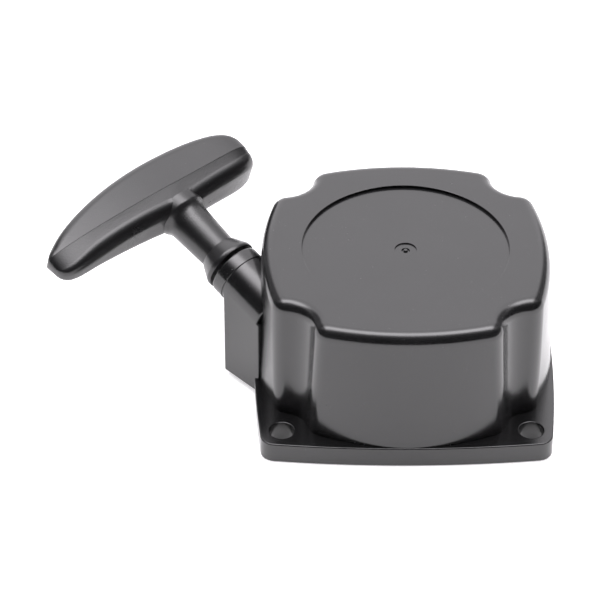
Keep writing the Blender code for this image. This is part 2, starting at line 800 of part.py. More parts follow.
def make_centre_screw(crank):
    profile = [
        (0.0, INSERT_TOP - 0.0010),
        (SHANK_RADIUS - 0.0004, INSERT_TOP - 0.0010),
        (SHANK_RADIUS, INSERT_TOP - 0.0014),
        (SHANK_RADIUS, HEAD_TOP),
        (HEAD_RADIUS, HEAD_TOP),
        (HEAD_RADIUS, HEAD_BOTTOM + 0.0007),
        (HEAD_RADIUS - 0.0009, HEAD_BOTTOM),
        (0.0, HEAD_BOTTOM),
    ]
    screw = turned("centre_screw", profile, steel, crank, 24, closed=False)
    for number in range(2):
        bar = block("cross", CROSS_SLOT, (0.0, 0.0, HEAD_BOTTOM), math.pi / 2 * number)
        combine(screw, cutter(f"cross_recess_{number + 1}", bar, crank), "DIFFERENCE")
    profile = [
        (WASHER_BORE, WASHER_TOP),
        (WASHER_RADIUS, WASHER_TOP),
        (WASHER_RADIUS, WASHER_BOTTOM),
        (WASHER_BORE, WASHER_BOTTOM),
    ]
    turned("thrust_washer", profile, steel, crank, 32)
    low = WASHER_TOP + CLEAR + FRICTION_WIRE
    high = GUIDE_TOP - GUIDE_THICKNESS - CLEAR - FRICTION_WIRE
    turns = 2.0
    count = int(turns * 16)
    points = []
    for i in range(count + 1):
        share = i / count
        points.append((*polar(FRICTION_COIL, math.tau * turns * share), low + (high - low) * share))
    tube("friction_spring", points, FRICTION_WIRE, spring_steel, crank)


# ---------------------------------------------------------------- grip

def grip_section(position):
    """One cross-section of the grip at a distance along the bar: x along it, y up, z outwards."""
    if position >= 0:
        t = position / GRIP_LONG
        end = (1 - t**14) ** 0.30
        palm = GRIP_PALM * (1 - t**2) ** 0.68
        fingers = (GRIP_FINGERS + 0.0022 * t**3 + 0.0015 * (1 - t) ** 4) * end
        half = GRIP_HALF_THICK * (1 - 0.5 * t**2) * end
    else:
        t = -position / GRIP_SHORT
        end = (1 - t**10) ** 0.25
        palm = GRIP_PALM * (1 - t**2.1) ** 0.33
        fingers = (GRIP_FINGERS + 0.0002 + 0.0013 * (1 - t) ** 4) * end
        half = GRIP_HALF_THICK * (1 + 0.08 * t**2) * end
    inner = half - GRIP_DRAFT * fingers
    palm_edge = min(GRIP_PALM_EDGE, 0.8 * half, 0.9 * palm)
    finger_edge = min(GRIP_FINGER_EDGE, 0.8 * inner, 0.7 * fingers)
    side = []
    for i in range(5):
        across, level = polar(palm_edge, math.pi / 2 * i / 4)
        side.append((GRIP_PARTING + palm - palm_edge + across, half - palm_edge + level))
    side.append((GRIP_PARTING, half))
    for i in range(5):
        across, level = polar(finger_edge, math.pi / 2 + math.pi / 2 * i / 4)
        side.append((GRIP_PARTING - fingers + finger_edge + across, inner - finger_edge + level))
    other = [(z, -y) for z, y in reversed(side)]
    return [Vector((-position, y, z)) for z, y in side + other]


def make_grip(outlet):
    stations = []
    count = 26
    for i in range(count + 1):
        angle = math.pi * (0.02 + 0.96 * i / count)
        reach = math.cos(angle)
        stations.append(reach * (GRIP_LONG if reach > 0 else GRIP_SHORT))
    mesh = loft("grip", [grip_section(s) for s in stations])
    grip = place("grip", mesh, black_plastic, outlet)
    neck = [
        (0.0, NECK_END),
        (0.0069, NECK_END),
        (0.0069, NECK_ROOT + 0.0004),
        (0.0063, NECK_ROOT - 0.0005),
        (0.00585, NECK_ROOT - 0.0016),
        (0.0057, NECK_ROOT - 0.0036),
        (0.00515, COLLAR_END),
        (0.00545, COLLAR_END),
        (0.00555, COLLAR_END - 0.0008),
        (MOUTH_RADIUS, GAP + 0.0012),
        (MOUTH_RADIUS, GAP + 0.0004),
        (MOUTH_RADIUS - 0.0004, GAP),
        (0.0, GAP),
    ]
    combine(grip, turned("neck", neck, None, outlet, 32, closed=False), "UNION")
    bore = [
        (0.0, GRIP_PARTING + GRIP_PALM + 0.002),
        (KNOT_POCKET, GRIP_PARTING + GRIP_PALM + 0.002),
        (KNOT_POCKET, KNOT_SEAT),
        (0.0021, KNOT_SEAT),
        (0.0021, GAP + 0.0015),
        (0.0034, GAP - 0.001),
        (0.0, GAP - 0.001),
    ]
    combine(grip, turned("grip_bore", bore, None, outlet, 20, closed=False), "DIFFERENCE")


# ---------------------------------------------------------------- the whole starter

clear_scene()
parts = new_collection("recoil_starter")
cutters = new_collection("cutters", hidden=True)

black_plastic = material("black_plastic", (0.022, 0.022, 0.024), 0.42)
grey_plastic = material("grey_plastic", (0.07, 0.07, 0.075), 0.5)
steel = material("steel", (0.55, 0.55, 0.56), 0.35, 1.0)
spring_steel = material("spring_steel", (0.30, 0.31, 0.34), 0.3, 1.0)
brass = material("brass", (0.75, 0.58, 0.28), 0.35, 1.0)
rope_black = material("rope_black", (0.03, 0.03, 0.032), 0.85)

crank = empty("crank_axis", Matrix.Translation((CRANK_X, CRANK_Y, 0.0)))
outlet = empty(
    "exit_axis",
    Matrix.Translation(Vector((CRANK_X, CRANK_Y, EXIT_HEIGHT)) + tangent_point + exit_dir * EXIT_RUN)
    @ Matrix.Rotation(EXIT_HEADING, 4, "Z")
    @ Matrix.Rotation(math.pi / 2 - EXIT_TILT, 4, "Y")
    @ Matrix.Rotation(-math.pi / 2, 4, "Z"),
)

make_housing(crank, outlet)
make_rope_guide(outlet)
make_post_insert(crank)
make_mainspring(crank)
make_spring_cover(crank)
make_reel(crank)
make_rope(crank, outlet)
make_pawls(crank)
make_ratchet_guide(crank)
make_centre_screw(crank)
make_grip(outlet)
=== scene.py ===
"""Looks of the recoil starter: smooth mouldings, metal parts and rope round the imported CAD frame.

Metres, in the CAD's frame. Pieces are made in the frame of the crank axis, the rope's exit axis
or a pawl's pivot, and then moved into place.
"""

import json
import math

import bmesh
import bpy
from mathutils import Matrix, Vector

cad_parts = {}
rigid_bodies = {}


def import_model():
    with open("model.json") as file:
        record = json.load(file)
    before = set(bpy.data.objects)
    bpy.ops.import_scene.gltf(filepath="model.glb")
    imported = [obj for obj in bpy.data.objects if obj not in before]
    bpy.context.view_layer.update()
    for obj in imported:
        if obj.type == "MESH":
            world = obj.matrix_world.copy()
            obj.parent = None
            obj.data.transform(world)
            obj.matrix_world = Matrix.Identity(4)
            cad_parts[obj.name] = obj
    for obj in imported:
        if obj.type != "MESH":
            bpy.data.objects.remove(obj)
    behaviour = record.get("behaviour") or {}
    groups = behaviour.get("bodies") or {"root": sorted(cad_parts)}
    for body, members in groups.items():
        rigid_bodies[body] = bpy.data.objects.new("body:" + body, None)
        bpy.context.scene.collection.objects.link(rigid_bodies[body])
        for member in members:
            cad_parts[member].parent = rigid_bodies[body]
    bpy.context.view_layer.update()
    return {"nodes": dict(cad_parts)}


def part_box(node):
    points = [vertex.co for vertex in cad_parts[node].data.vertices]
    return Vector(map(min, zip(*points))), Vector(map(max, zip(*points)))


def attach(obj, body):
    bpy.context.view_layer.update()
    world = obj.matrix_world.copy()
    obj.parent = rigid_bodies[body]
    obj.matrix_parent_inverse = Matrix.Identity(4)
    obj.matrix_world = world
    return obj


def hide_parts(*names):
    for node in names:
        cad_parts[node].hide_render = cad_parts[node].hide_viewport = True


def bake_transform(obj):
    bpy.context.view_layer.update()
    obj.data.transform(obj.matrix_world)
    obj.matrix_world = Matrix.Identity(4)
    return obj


for startup_object in list(bpy.data.objects):
    bpy.data.objects.remove(startup_object, do_unlink=True)

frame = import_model()

# Crank axis, and the exit axis the rope leaves along
CRANK = Vector((0.02701, -0.00338, 0.0))
WRAP_RADIUS = 0.0294
EXIT_HEADING = math.radians(133.0)
EXIT_TILT = math.radians(17.7)
EXIT_RUN = 0.0348
EXIT_HEIGHT = 0.0299

# Flange and cup
FLANGE_HALF = 0.0400
FLANGE_SIDE_RADIUS = 0.322
FLANGE_CORNER = 0.0040
FLANGE_TOP = 0.0058
FLANGE_EDGE = 0.0004
BOLT_PITCH = 0.0650
BOLT_HOLE = 0.0032
CUP_TOP = 0.0410
CUP_FILLET = 0.0034
# Half width, lobe radius, scoop radius and corner radius of the cup at its foot and shoulder
FOOT = (0.0396, 0.055, 0.0069, 0.0045)
SHOULDER = (0.0379, 0.078, 0.0084, 0.0045)
# Round recess with the gate mark in its middle, and the rims of the recess and the bolt holes
RECESS_RADIUS = 0.02715
RECESS_DEPTH = 0.0008
RECESS_RIM = 0.00012
GATE_RADIUS = 0.0029
GATE_DEPTH = 0.00034
SPRUE_RADIUS = 0.0011
SPRUE_DEPTH = 0.0007
HOLE_RIM = 0.0003

# Hollow under the cup, with the centre post, its insert and the spring cover's bosses
CHAMBER_RADIUS = 0.0345
ROOF_UNDERSIDE = 0.0380
SPRING_RIM_BOTTOM = 0.0312
SPRING_CHAMBER = 0.0270
SPRING_RIM_OUTER = 0.0292
POST_RADIUS = 0.0060
POST_BOTTOM = 0.0094
INSERT_RADIUS = 0.0037
INSERT_TOP = 0.0210
INSERT_HEADROOM = 0.0005
MOUTH_CHAMFER = 0.0005
BOSS_RADIUS = 0.0024
BOSS_HOLE = 0.0012
BOSS_HOLE_TOP = 0.0372
BOSS_CIRCLE = 0.0312

# Outlet tube, its slab and the seat of the rope guide
TUBE_RADIUS = 0.0072
TUBE_LENGTH = 0.0175
MOUTH_RADIUS = 0.00747
GUSSET_BOTTOM = 0.0013
GUSSET_SHORT = 0.0037
GUSSET_START = 0.50
GUIDE_BODY = 0.0040
GUIDE_LIP = 0.0057
GUIDE_BORE = 0.0021
GUIDE_FACE = 0.0006
GUIDE_LENGTH = 0.0134
LIP_THICKNESS = 0.0014
LIP_SEAT = 0.0023
GUIDE_SEAT = 0.0138
ROPE_TUNNEL = 0.0032
TUNNEL_LENGTH = 0.0260

# Reel, pawls, guide and screw
GROOVE_MIDDLE = 0.0220
GROOVE_WIDTH = 0.0098
CHEEK = 0.0015
REEL_RADIUS = 0.0330
REEL_BOTTOM = GROOVE_MIDDLE - GROOVE_WIDTH / 2 - CHEEK
DRUM_RADIUS = 0.0212
DRUM_INNER = 0.0190
WEB_THICKNESS = 0.0018
HUB_RADIUS = 0.0095
HUB_GAP = 0.0010
HUB_NOTCH = (0.0020, 0.0024, 0.0080)
HUB_NOTCH_HEIGHT = 0.0348
WINDOW_CIRCLE = 0.0142
WINDOW_RADIUS = 0.0030
REEL_BORE = 0.0063
NOSE_RADIUS = 0.0073
SPRING_START = math.radians(200)
PAWL_PIVOT = 0.0130
PAWL_BOTTOM = 0.0098
PAWL_TOP = 0.0136
PAWL_REST = math.radians(-20.0)
PAWL_HALF_WIDTH = 0.0022
PAWL_EYE = 0.0036
PAWL_EDGE = 0.00022
CLAW_HEEL = 0.0104
CLAW_TIP = 0.0132
STUD_RADIUS = 0.0020
ANCHOR_RADIUS = 0.0009
SPRING_WIRE = 0.0003
SPRING_COIL = 0.0027
SPRING_HOOK = 0.0080
SPRING_ANCHOR = (-0.0085, 0.0014)
GUIDE_RADIUS = 0.0135
GUIDE_TOP = 0.0091
GUIDE_THICKNESS = 0.0020
GUIDE_HOLE = 0.0030
PEG_CIRCLE = 0.0110
PEG_RADIUS = 0.0012
PEG_ANGLE = math.radians(31.5)
HEAD_RADIUS = 0.0044
HEAD_BOTTOM = 0.0005
HEAD_TOP = 0.0025
SHANK_RADIUS = 0.0024
CROSS_SLOT = (0.0050, 0.0010, 0.0024)
WASHER_BORE = 0.0027
WASHER_RADIUS = 0.0066
WASHER_BOTTOM = 0.0028
WASHER_TOP = 0.0038
FRICTION_WIRE = 0.0004
FRICTION_COIL = 0.0042
FRICTION_TURNS = 2.0
COVER_GAP = 0.0008
COVER_RADIUS = 0.0336
COVER_THICKNESS = 0.0006
COVER_HOLE = 0.0013
COVER_SCREW = 0.0009
COVER_SCREW_TOP = 0.0359
COVER_SCREW_HEAD = 0.0021
COVER_SCREW_SLOT = (0.0024, 0.0005, 0.0012)

# Rope and grip. Heights run along the exit axis from the outlet's mouth
ROPE_RADIUS = 0.0015
LEAD_EASE = 0.0040
KNOT_CORD = 0.0009
KNOT_SEAT = 0.0295
KNOT_RADIUS = 0.0026
KNOT_POCKET = 0.0045
ROPE_HOLE = 0.0021
GAP = 0.0008
COLLAR_END = 0.0060
GRIP_LONG = 0.0417
GRIP_SHORT = 0.0275
GRIP_PARTING = 0.0274
GRIP_PALM = 0.0106
GRIP_FINGERS = 0.0057
GRIP_PALM_EDGE = 0.0026
GRIP_FINGER_EDGE = 0.0036
GRIP_DRAFT = 0.12
GRIP_HALF_THICK = 0.00715
GRIP_STEP = 0.00012
NECK_ROOT = 0.0207
NECK_END = 0.0240
NECK_FLARE = 0.0069

# Gap between pieces, how far cutters stand past the faces they cut, and the usual rounding
CLEAR = 0.0003
PAST = 0.001
ROUNDING = 0.0004
FINE_ROUNDING = 0.0002

# Camera fitted to the photo, its place counted from the crank axis
LENS = 180.87
SENSOR_WIDTH = 36.0
CAMERA_AZIMUTH = math.radians(-0.154)
CAMERA_ELEVATION = math.radians(38.615)
CAMERA_PLACE = Vector((-0.029344, -0.625084, 0.522586))

exit_dir = Vector((math.cos(EXIT_HEADING), math.sin(EXIT_HEADING), 0.0))
exit_side = Vector((math.sin(EXIT_HEADING), -math.cos(EXIT_HEADING), 0.0))
tangent_point = -WRAP_RADIUS * exit_side
crank = Matrix.Translation(CRANK)
outlet = (
    Matrix.Translation(CRANK + Vector((0, 0, EXIT_HEIGHT)) + tangent_point + exit_dir * EXIT_RUN)
    @ Matrix.Rotation(EXIT_HEADING, 4, "Z")
    @ Matrix.Rotation(math.pi / 2 - EXIT_TILT, 4, "Y")
    @ Matrix.Rotation(-math.pi / 2, 4, "Z")
)


# ---------------------------------------------------------------- mesh tools

def mesh_from(bm, name):
    bmesh.ops.recalc_face_normals(bm, faces=bm.faces)
    if bm.calc_volume(signed=True) < 0:
        bmesh.ops.reverse_faces(bm, faces=bm.faces)
    mesh = bpy.data.meshes.new(name)
    bm.to_mesh(mesh)
    bm.free()
    return mesh


def loft(name, rings):
    """Closed skin over rings of equal point counts, flat at both ends."""
    bm = bmesh.new()
    rows = [[bm.verts.new(point) for point in ring] for ring in rings]
    count = len(rows[0])
    for lower, upper in zip(rows, rows[1:]):
        for i in range(count):
            j = (i + 1) % count
            bm.faces.new((lower[i], lower[j], upper[j], upper[i]))
    bm.faces.new(rows[0])
    bm.faces.new(rows[-1])
    return mesh_from(bm, name)


def revolve(name, profile, steps=96, closed=True):
    """A turned mesh from (radius, z) points. An open profile starts and ends on the axis."""
    bm = bmesh.new()
    columns = []
    for radius, z in profile:
        count = 1 if radius < 1e-7 else steps
        turns = [math.tau * i / count for i in range(count)]
        columns.append([bm.verts.new((radius * math.cos(t), radius * math.sin(t), z)) for t in turns])
    following = columns[1:] + (columns[:1] if closed else [])
    for near, far in zip(columns, following):
        for i in range(steps):
            j = (i + 1) % steps
            corners = (near[i % len(near)], near[j % len(near)], far[j % len(far)], far[i % len(far)])
            distinct = list(dict.fromkeys(corners))
            if len(distinct) > 2:
                bm.faces.new(distinct)
    return mesh_from(bm, name)


def rounded(profile, radius, closed=True, steps=4):
    """The profile with each corner off the axis rounded."""
    points = [Vector(p) for p in profile]
    count = len(points)
    found = []
    for i, at in enumerate(points):
        at_end = not closed and i in (0, count - 1)
        if at_end or at.x < 1e-7:
            found.append(tuple(at))
            continue
        back = points[i - 1] - at
        ahead = points[(i + 1) % count] - at
        reach = min(radius, 0.45 * back.length, 0.45 * ahead.length)
        start = at + back.normalized() * reach
        end = at + ahead.normalized() * reach
        for k in range(steps + 1):
            t = k / steps
            found.append(tuple(start * (1 - t) ** 2 + at * 2 * t * (1 - t) + end * t * t))
    return found


def cylinder(name, radius, low, high, centre=(0.0, 0.0), segments=32):
    bm = bmesh.new()
    middle = Matrix.Translation((centre[0], centre[1], (low + high) / 2))
    bmesh.ops.create_cone(
        bm,
        cap_ends=True,
        segments=segments,
        radius1=radius,
        radius2=radius,
        depth=high - low,
        matrix=middle,
    )
    return mesh_from(bm, name)


def block(name, size, centre, turn=0.0):
    bm = bmesh.new()
    bmesh.ops.create_cube(bm, size=1.0, matrix=Matrix.Diagonal((*size, 1.0)))
    bm.transform(Matrix.Rotation(turn, 4, "Z") @ Matrix.Translation(centre))
    return mesh_from(bm, name)


def sweep(name, points, radius, sides=16):
    """A round cord or wire with rounded ends along a list of points."""
    points = [Vector(p) for p in points]
    bm = bmesh.new()
    normal = Vector((0.0, 0.0, 1.0))
    rings = []
    last = len(points) - 1
    for i, point in enumerate(points):
        along = (points[min(i + 1, last)] - points[max(i - 1, 0)]).normalized()
        normal = normal - along * normal.dot(along)
        if normal.length < 1e-6:
            normal = along.orthogonal()
        normal.normalize()
        across = along.cross(normal)
        ends = []
        if i == 0:
            ends = [(0.5, -0.6), (0.87, -0.35)]
        stations = ends + [(1.0, 0.0)]
        if i == last:
            stations += [(0.87, 0.35), (0.5, 0.6)]
        for share, shift in stations:
            centre = point + along * shift * radius
            ring = []
            for k in range(sides):
                turn = math.tau * k / sides
                outwards = normal * math.cos(turn) + across * math.sin(turn)
                ring.append(centre + radius * share * outwards)
            rings.append(ring)
    rows = [[bm.verts.new(p) for p in ring] for ring in rings]
    for lower, upper in zip(rows, rows[1:]):
        for k in range(sides):
            m = (k + 1) % sides
            bm.faces.new((lower[k], lower[m], upper[m], upper[k]))
    bm.faces.new(rows[0])
    bm.faces.new(rows[-1])
    return mesh_from(bm, name)


def arc(centre, radius, start, end, count):
    """Points on an arc, its last one left out."""
    turns = [start + (end - start) * i / count for i in range(count)]
    return [(centre[0] + radius * math.cos(t), centre[1] + radius * math.sin(t)) for t in turns]


def quarter_turns(points):
    found = []
    for side in range(4):
        c, s = math.cos(side * math.pi / 2), math.sin(side * math.pi / 2)
        found += [(x * c - y * s, x * s + y * c) for x, y in points]
    return found


def polar(radius, angle):
    return (radius * math.cos(angle), radius * math.sin(angle))


def applied(obj):
    """The object's mesh with its modifiers applied. The object itself is removed."""
    bpy.context.view_layer.update()
    depsgraph = bpy.context.evaluated_depsgraph_get()
    made = bpy.data.meshes.new_from_object(obj.evaluated_get(depsgraph))
    bpy.data.objects.remove(obj, do_unlink=True)
    return made


def join(target, tools, name):
    """Applies (operation, mesh) tools to the target mesh one after another."""
    scene = bpy.context.scene
    obj = bpy.data.objects.new(name, target)
    scene.collection.objects.link(obj)
    helpers = []
    for operation, mesh in tools:
        helper = bpy.data.objects.new("helper", mesh)
        scene.collection.objects.link(helper)
        helpers.append(helper)
        boolean = obj.modifiers.new(operation, "BOOLEAN")
        boolean.operation = operation
        boolean.object = helper
        boolean.solver = "EXACT"
    made = applied(obj)
    for helper in helpers:
        bpy.data.objects.remove(helper, do_unlink=True)
    return made


def bevelled(mesh, width, segments=3, limit=30):
    """The mesh with its sharp edges rounded."""
    obj = bpy.data.objects.new("bevelled", mesh)
    bpy.context.scene.collection.objects.link(obj)
    bevel = obj.modifiers.new("bevel", "BEVEL")
    bevel.width = width
    bevel.segments = segments
    bevel.limit_method = "ANGLE"
    bevel.angle_limit = math.radians(limit)
    return applied(obj)


def piece(name, mesh, matrix, look, body, nodes, sharp=32):
    """A finished piece that stands for CAD nodes and rides on a body."""
    mesh.transform(matrix)
    mesh.name = name
    mesh.materials.clear()
    mesh.materials.append(look)
    mesh.shade_smooth()
    mesh.set_sharp_from_angle(angle=math.radians(sharp))
    obj = bpy.data.objects.new(name, mesh)
    bpy.context.scene.collection.objects.link(obj)
    weighted = obj.modifiers.new("normals", "WEIGHTED_NORMAL")
    weighted.keep_sharp = True
    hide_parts(*nodes)
    if body is not None:
        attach(obj, body)
    return obj


# ---------------------------------------------------------------- materials

class Graph:
    """Short calls for one node tree."""

    def __init__(self, tree):
        self.tree = tree

    def add(self, kind, **settings):
        node = self.tree.nodes.new(kind)
        for key, value in settings.items():
            setattr(node, key, value)
        return node

    def link(self, source, target):
        self.tree.links.new(source, target)

    def remap(self, value, low, high, to_low, to_high, kind="LINEAR"):
        node = self.add("ShaderNodeMapRange", interpolation_type=kind)
        node.inputs["From Min"].default_value = low
        node.inputs["From Max"].default_value = high
        node.inputs["To Min"].default_value = to_low
        node.inputs["To Max"].default_value = to_high
        self.link(value, node.inputs["Value"])
        return node.outputs["Result"]

    def maths(self, operation, first, second):
        node = self.add("ShaderNodeMath", operation=operation)
        for socket, value in zip(node.inputs, (first, second)):
            if isinstance(value, (int, float)):
                socket.default_value = value
            else:
                self.link(value, socket)
        return node.outputs[0]


class Nodes(Graph):
    """Short calls for one material's nodes."""

    def __init__(self, name):
        self.material = bpy.data.materials.new(name)
        self.material.use_nodes = True
        super().__init__(self.material.node_tree)
        self.shader = self.tree.nodes["Principled BSDF"]
        self.coordinates = self.add("ShaderNodeTexCoord").outputs["Object"]

    def noise(self, scale, detail=2.0, roughness=0.5, vector=None):
        node = self.add("ShaderNodeTexNoise")
        node.inputs["Scale"].default_value = scale
        node.inputs["Detail"].default_value = detail
        node.inputs["Roughness"].default_value = roughness
        self.link(vector or self.coordinates, node.inputs["Vector"])
        return node.outputs["Fac"]

    def stretched(self, scale, rotation):
        node = self.add("ShaderNodeMapping")
        node.inputs["Scale"].default_value = scale
        node.inputs["Rotation"].default_value = rotation
        self.link(self.coordinates, node.inputs["Vector"])
        return node.outputs["Vector"]

    def mix(self, share, first, second):
        node = self.add("ShaderNodeMix", data_type="RGBA")
        self.link(share, node.inputs["Factor"])
        colours = [s for s in node.inputs if s.type == "RGBA"]
        for socket, value in zip(colours, (first, second)):
            if isinstance(value, tuple):
                socket.default_value = (*value, 1.0)
            else:
                self.link(value, socket)
        return [s for s in node.outputs if s.type == "RGBA"][0]

    def bump(self, height, strength, distance, under=None):
        node = self.add("ShaderNodeBump")
        node.inputs["Strength"].default_value = strength
        node.inputs["Distance"].default_value = distance
        self.link(height, node.inputs["Height"])
        if under is not None:
            self.link(under, node.inputs["Normal"])
        return node.outputs["Normal"]


def plastic(name, colour, roughness, specular, grain, scuffs):
    """Moulded plastic: fine grain, a few light specks and short scuffs."""
    n = Nodes(name)
    light = tuple(min(1.0, c * 4 + 0.05) for c in colour)
    specks = n.remap(n.noise(1900, 0.0), 0.82, 0.87, 0.0, 0.35)
    streak_space = n.stretched((1.0, 9.0, 3.0), (0.4, 0.3, 0.7))
    streaks = n.remap(n.noise(210, 3.0, 0.65, streak_space), 0.64, 0.80, 0.0, scuffs)
    patches = n.remap(n.noise(28, 3.0), 0.42, 0.62, 0.0, 1.0)
    marks = n.maths("MAXIMUM", specks, n.maths("MULTIPLY", streaks, patches))
    cloud = n.remap(n.noise(70, 4.0), 0.3, 0.7, 0.0, 1.0)
    shade = n.mix(cloud, tuple(c * 0.85 for c in colour), tuple(c * 1.15 for c in colour))
    n.link(n.mix(marks, shade, light), n.shader.inputs["Base Color"])
    uneven = n.remap(n.noise(55, 5.0, 0.6), 0.3, 0.7, roughness - 0.03, roughness + 0.04)
    rough = n.maths("ADD", uneven, n.maths("MULTIPLY", marks, 0.2))
    n.link(rough, n.shader.inputs["Roughness"])
    n.shader.inputs["Specular IOR Level"].default_value = specular
    coarse = n.bump(n.noise(160, 3.0), 0.10, 0.0002)
    fine = n.bump(n.noise(2600, 2.0), grain, 0.00004, coarse)
    n.link(fine, n.shader.inputs["Normal"])
    return n.material


def metal(name, colour, roughness, brushed):
    """Metal with uneven gloss, faint tarnish and fine brushing."""
    n = Nodes(name)
    tarnish = n.remap(n.noise(320, 4.0), 0.35, 0.75, 0.0, 1.0)
    dark = tuple(c * 0.62 for c in colour)
    n.link(n.mix(tarnish, colour, dark), n.shader.inputs["Base Color"])
    gloss = n.remap(n.noise(900, 3.0), 0.3, 0.7, roughness - 0.07, roughness + 0.09)
    n.link(gloss, n.shader.inputs["Roughness"])
    n.shader.inputs["Metallic"].default_value = 1.0
    brush_space = n.stretched((1.0, 14.0, 1.0), (0.0, 0.0, 0.5))
    n.link(n.bump(n.noise(700, 2.0, 0.5, brush_space), brushed, 0.00004), n.shader.inputs["Normal"])
    return n.material


def braid(name, colour):
    """Braided cord: crossed strands as bands along two slanting directions, with painted light on the
    raised strands and painted shade in the grooves between them.
    """
    n = Nodes(name)
    bands = []
    for turn in (0.75, -0.75):
        wave = n.add("ShaderNodeTexWave", wave_type="BANDS", bands_direction="X", wave_profile="SIN")
        wave.inputs["Scale"].default_value = 300
        wave.inputs["Distortion"].default_value = 1.2
        wave.inputs["Detail"].default_value = 1.0
        n.link(n.stretched((1.0, 1.0, 1.0), (turn, turn, turn)), wave.inputs["Vector"])
        bands.append(wave.outputs["Fac"])
    weave = n.maths("MAXIMUM", *bands)
    fuzz = n.noise(5200, 2.0)
    height = n.maths("ADD", weave, n.maths("MULTIPLY", fuzz, 0.25))
    # The base colour goes lighter with the strands' height: painted light on the raised strands and
    # painted shade in the grooves between them.
    painted_strand_light = tuple(c * 2.2 for c in colour)
    n.link(n.mix(n.remap(height, 0.4, 1.2, 0.0, 1.0), colour, painted_strand_light), n.shader.inputs["Base Color"])
    n.link(n.remap(fuzz, 0.3, 0.7, 0.75, 0.92), n.shader.inputs["Roughness"])
    n.link(n.bump(height, 0.7, 0.00025), n.shader.inputs["Normal"])
    return n.material


black_plastic = plastic("black_plastic", (0.0095, 0.0095, 0.0100), 0.20, 0.70, 0.16, 0.12)
grip_plastic = plastic("grip_plastic", (0.010, 0.010, 0.0105), 0.29, 0.66, 0.65, 0.55)
grey_plastic = plastic("grey_plastic", (0.055, 0.056, 0.060), 0.36, 0.50, 0.16, 0.15)
steel = metal("steel", (0.56, 0.56, 0.57), 0.32, 0.20)
spring_steel = metal("spring_steel", (0.30, 0.31, 0.34), 0.28, 0.15)
brass = metal("brass", (0.76, 0.58, 0.28), 0.33, 0.20)
rope = braid("rope_black", (0.012, 0.012, 0.013))


# ---------------------------------------------------------------- housing

def flange_outline(inset):
    """A square with bowed sides and round corners, moved in by an inset."""
    side_centre = FLANGE_HALF - FLANGE_SIDE_RADIUS
    reach = FLANGE_SIDE_RADIUS - FLANGE_CORNER
    corner = (side_centre + math.sqrt(2 * reach**2 - side_centre**2)) / 2
    bow = math.atan2(corner, corner - side_centre)
    points = arc((side_centre, 0.0), FLANGE_SIDE_RADIUS - inset, -bow, bow, 20)
    points += arc((corner, corner), FLANGE_CORNER - inset, bow, math.pi / 2 - bow, 12)
    return quarter_turns(points)


def cup_outline(shape, inset=0.0):
    """Four lobes joined round the bolts: lobe arc, round corner, scoop, round corner."""
    half, lobe_radius, scoop, corner = shape
    half, lobe_radius, scoop, corner = half - inset, lobe_radius - inset, scoop + inset, corner - inset
    lobe_centre = half - lobe_radius
    bolt = BOLT_PITCH / 2
    to_lobe = lobe_radius - corner
    to_bolt = scoop + corner
    apart = math.hypot(bolt - lobe_centre, bolt)
    along = (to_lobe**2 - to_bolt**2 + apart**2) / (2 * apart)
    across = math.sqrt(to_lobe**2 - along**2)
    slope = math.atan2(bolt, bolt - lobe_centre)
    turn = slope - math.atan2(across, along)
    corner_x = lobe_centre + to_lobe * math.cos(turn)
    corner_y = to_lobe * math.sin(turn)
    facing_bolt = math.atan2(bolt - corner_y, bolt - corner_x)
    from_bolt = facing_bolt + math.pi
    to_next = math.pi / 2 - from_bolt + math.tau
    points = arc((lobe_centre, 0.0), lobe_radius, -turn, turn, 64)
    points += arc((corner_x, corner_y), corner, turn, facing_bolt, 12)
    points += arc((bolt, bolt), scoop, from_bolt, to_next, 22)
    points += arc((corner_y, corner_x), corner, math.pi / 2 - facing_bolt, math.pi / 2 - turn, 12)
    return quarter_turns(points)


def flat_ring(outline, z):
    return [Vector((x, y, z)) for x, y in outline]


def flange_mesh():
    rings = []
    steps = 4
    for i in range(steps + 1):
        angle = math.pi / 2 * i / steps
        radius = FLANGE_EDGE / 2
        outline = flange_outline(radius * (1 - math.sin(angle)))
        rings.append(flat_ring(outline, radius * (1 - math.cos(angle))))
    for i in range(steps + 1):
        angle = math.pi / 2 * i / steps
        level = FLANGE_TOP - FLANGE_EDGE * (1 - math.sin(angle))
        rings.append(flat_ring(flange_outline(FLANGE_EDGE * (1 - math.cos(angle))), level))
    return loft("flange", rings)


def cup_mesh():
    """The cup from inside the flange to its flat top, with a round top edge."""
    shoulder = CUP_TOP - CUP_FILLET

    def between(share):
        return tuple(a + (b - a) * share for a, b in zip(FOOT, SHOULDER))

    rings = [flat_ring(cup_outline(FOOT), 0.0020)]
    for i in range(7):
        share = i / 6
        level = FLANGE_TOP + (shoulder - FLANGE_TOP) * share
        rings.append(flat_ring(cup_outline(between(share)), level))
    steps = 12
    for i in range(1, steps + 1):
        angle = math.pi / 2 * i / steps
        inset = CUP_FILLET * (1 - math.cos(angle))
        rings.append(flat_ring(cup_outline(SHOULDER, inset), shoulder + CUP_FILLET * math.sin(angle)))
    return loft("cup", rings)


def gusset_mesh():
    """The upright slab that carries the outlet tube."""
    end = EXIT_RUN - GUSSET_SHORT
    start = EXIT_RUN * GUSSET_START
    slope = math.tan(EXIT_TILT)
    profile = [
        (start, GUSSET_BOTTOM),
        (end, GUSSET_BOTTOM),
        (end, EXIT_HEIGHT + (end - EXIT_RUN) * slope),
        (start, EXIT_HEIGHT + (start - EXIT_RUN) * slope),
    ]
    rings = []
    for side in (-TUBE_RADIUS, TUBE_RADIUS):
        foot = tangent_point + exit_side * side
        rings.append([foot + exit_dir * run + Vector((0, 0, z)) for run, z in profile])
    return bevelled(loft("gusset", rings), ROUNDING)


def boss_place(number):
    """Where one of the spring cover's three screw bosses stands."""
    return polar(BOSS_CIRCLE, math.radians(80 + 120 * number))


def in_crank_frame(mesh):
    mesh.transform(crank.inverted() @ outlet)
    return mesh


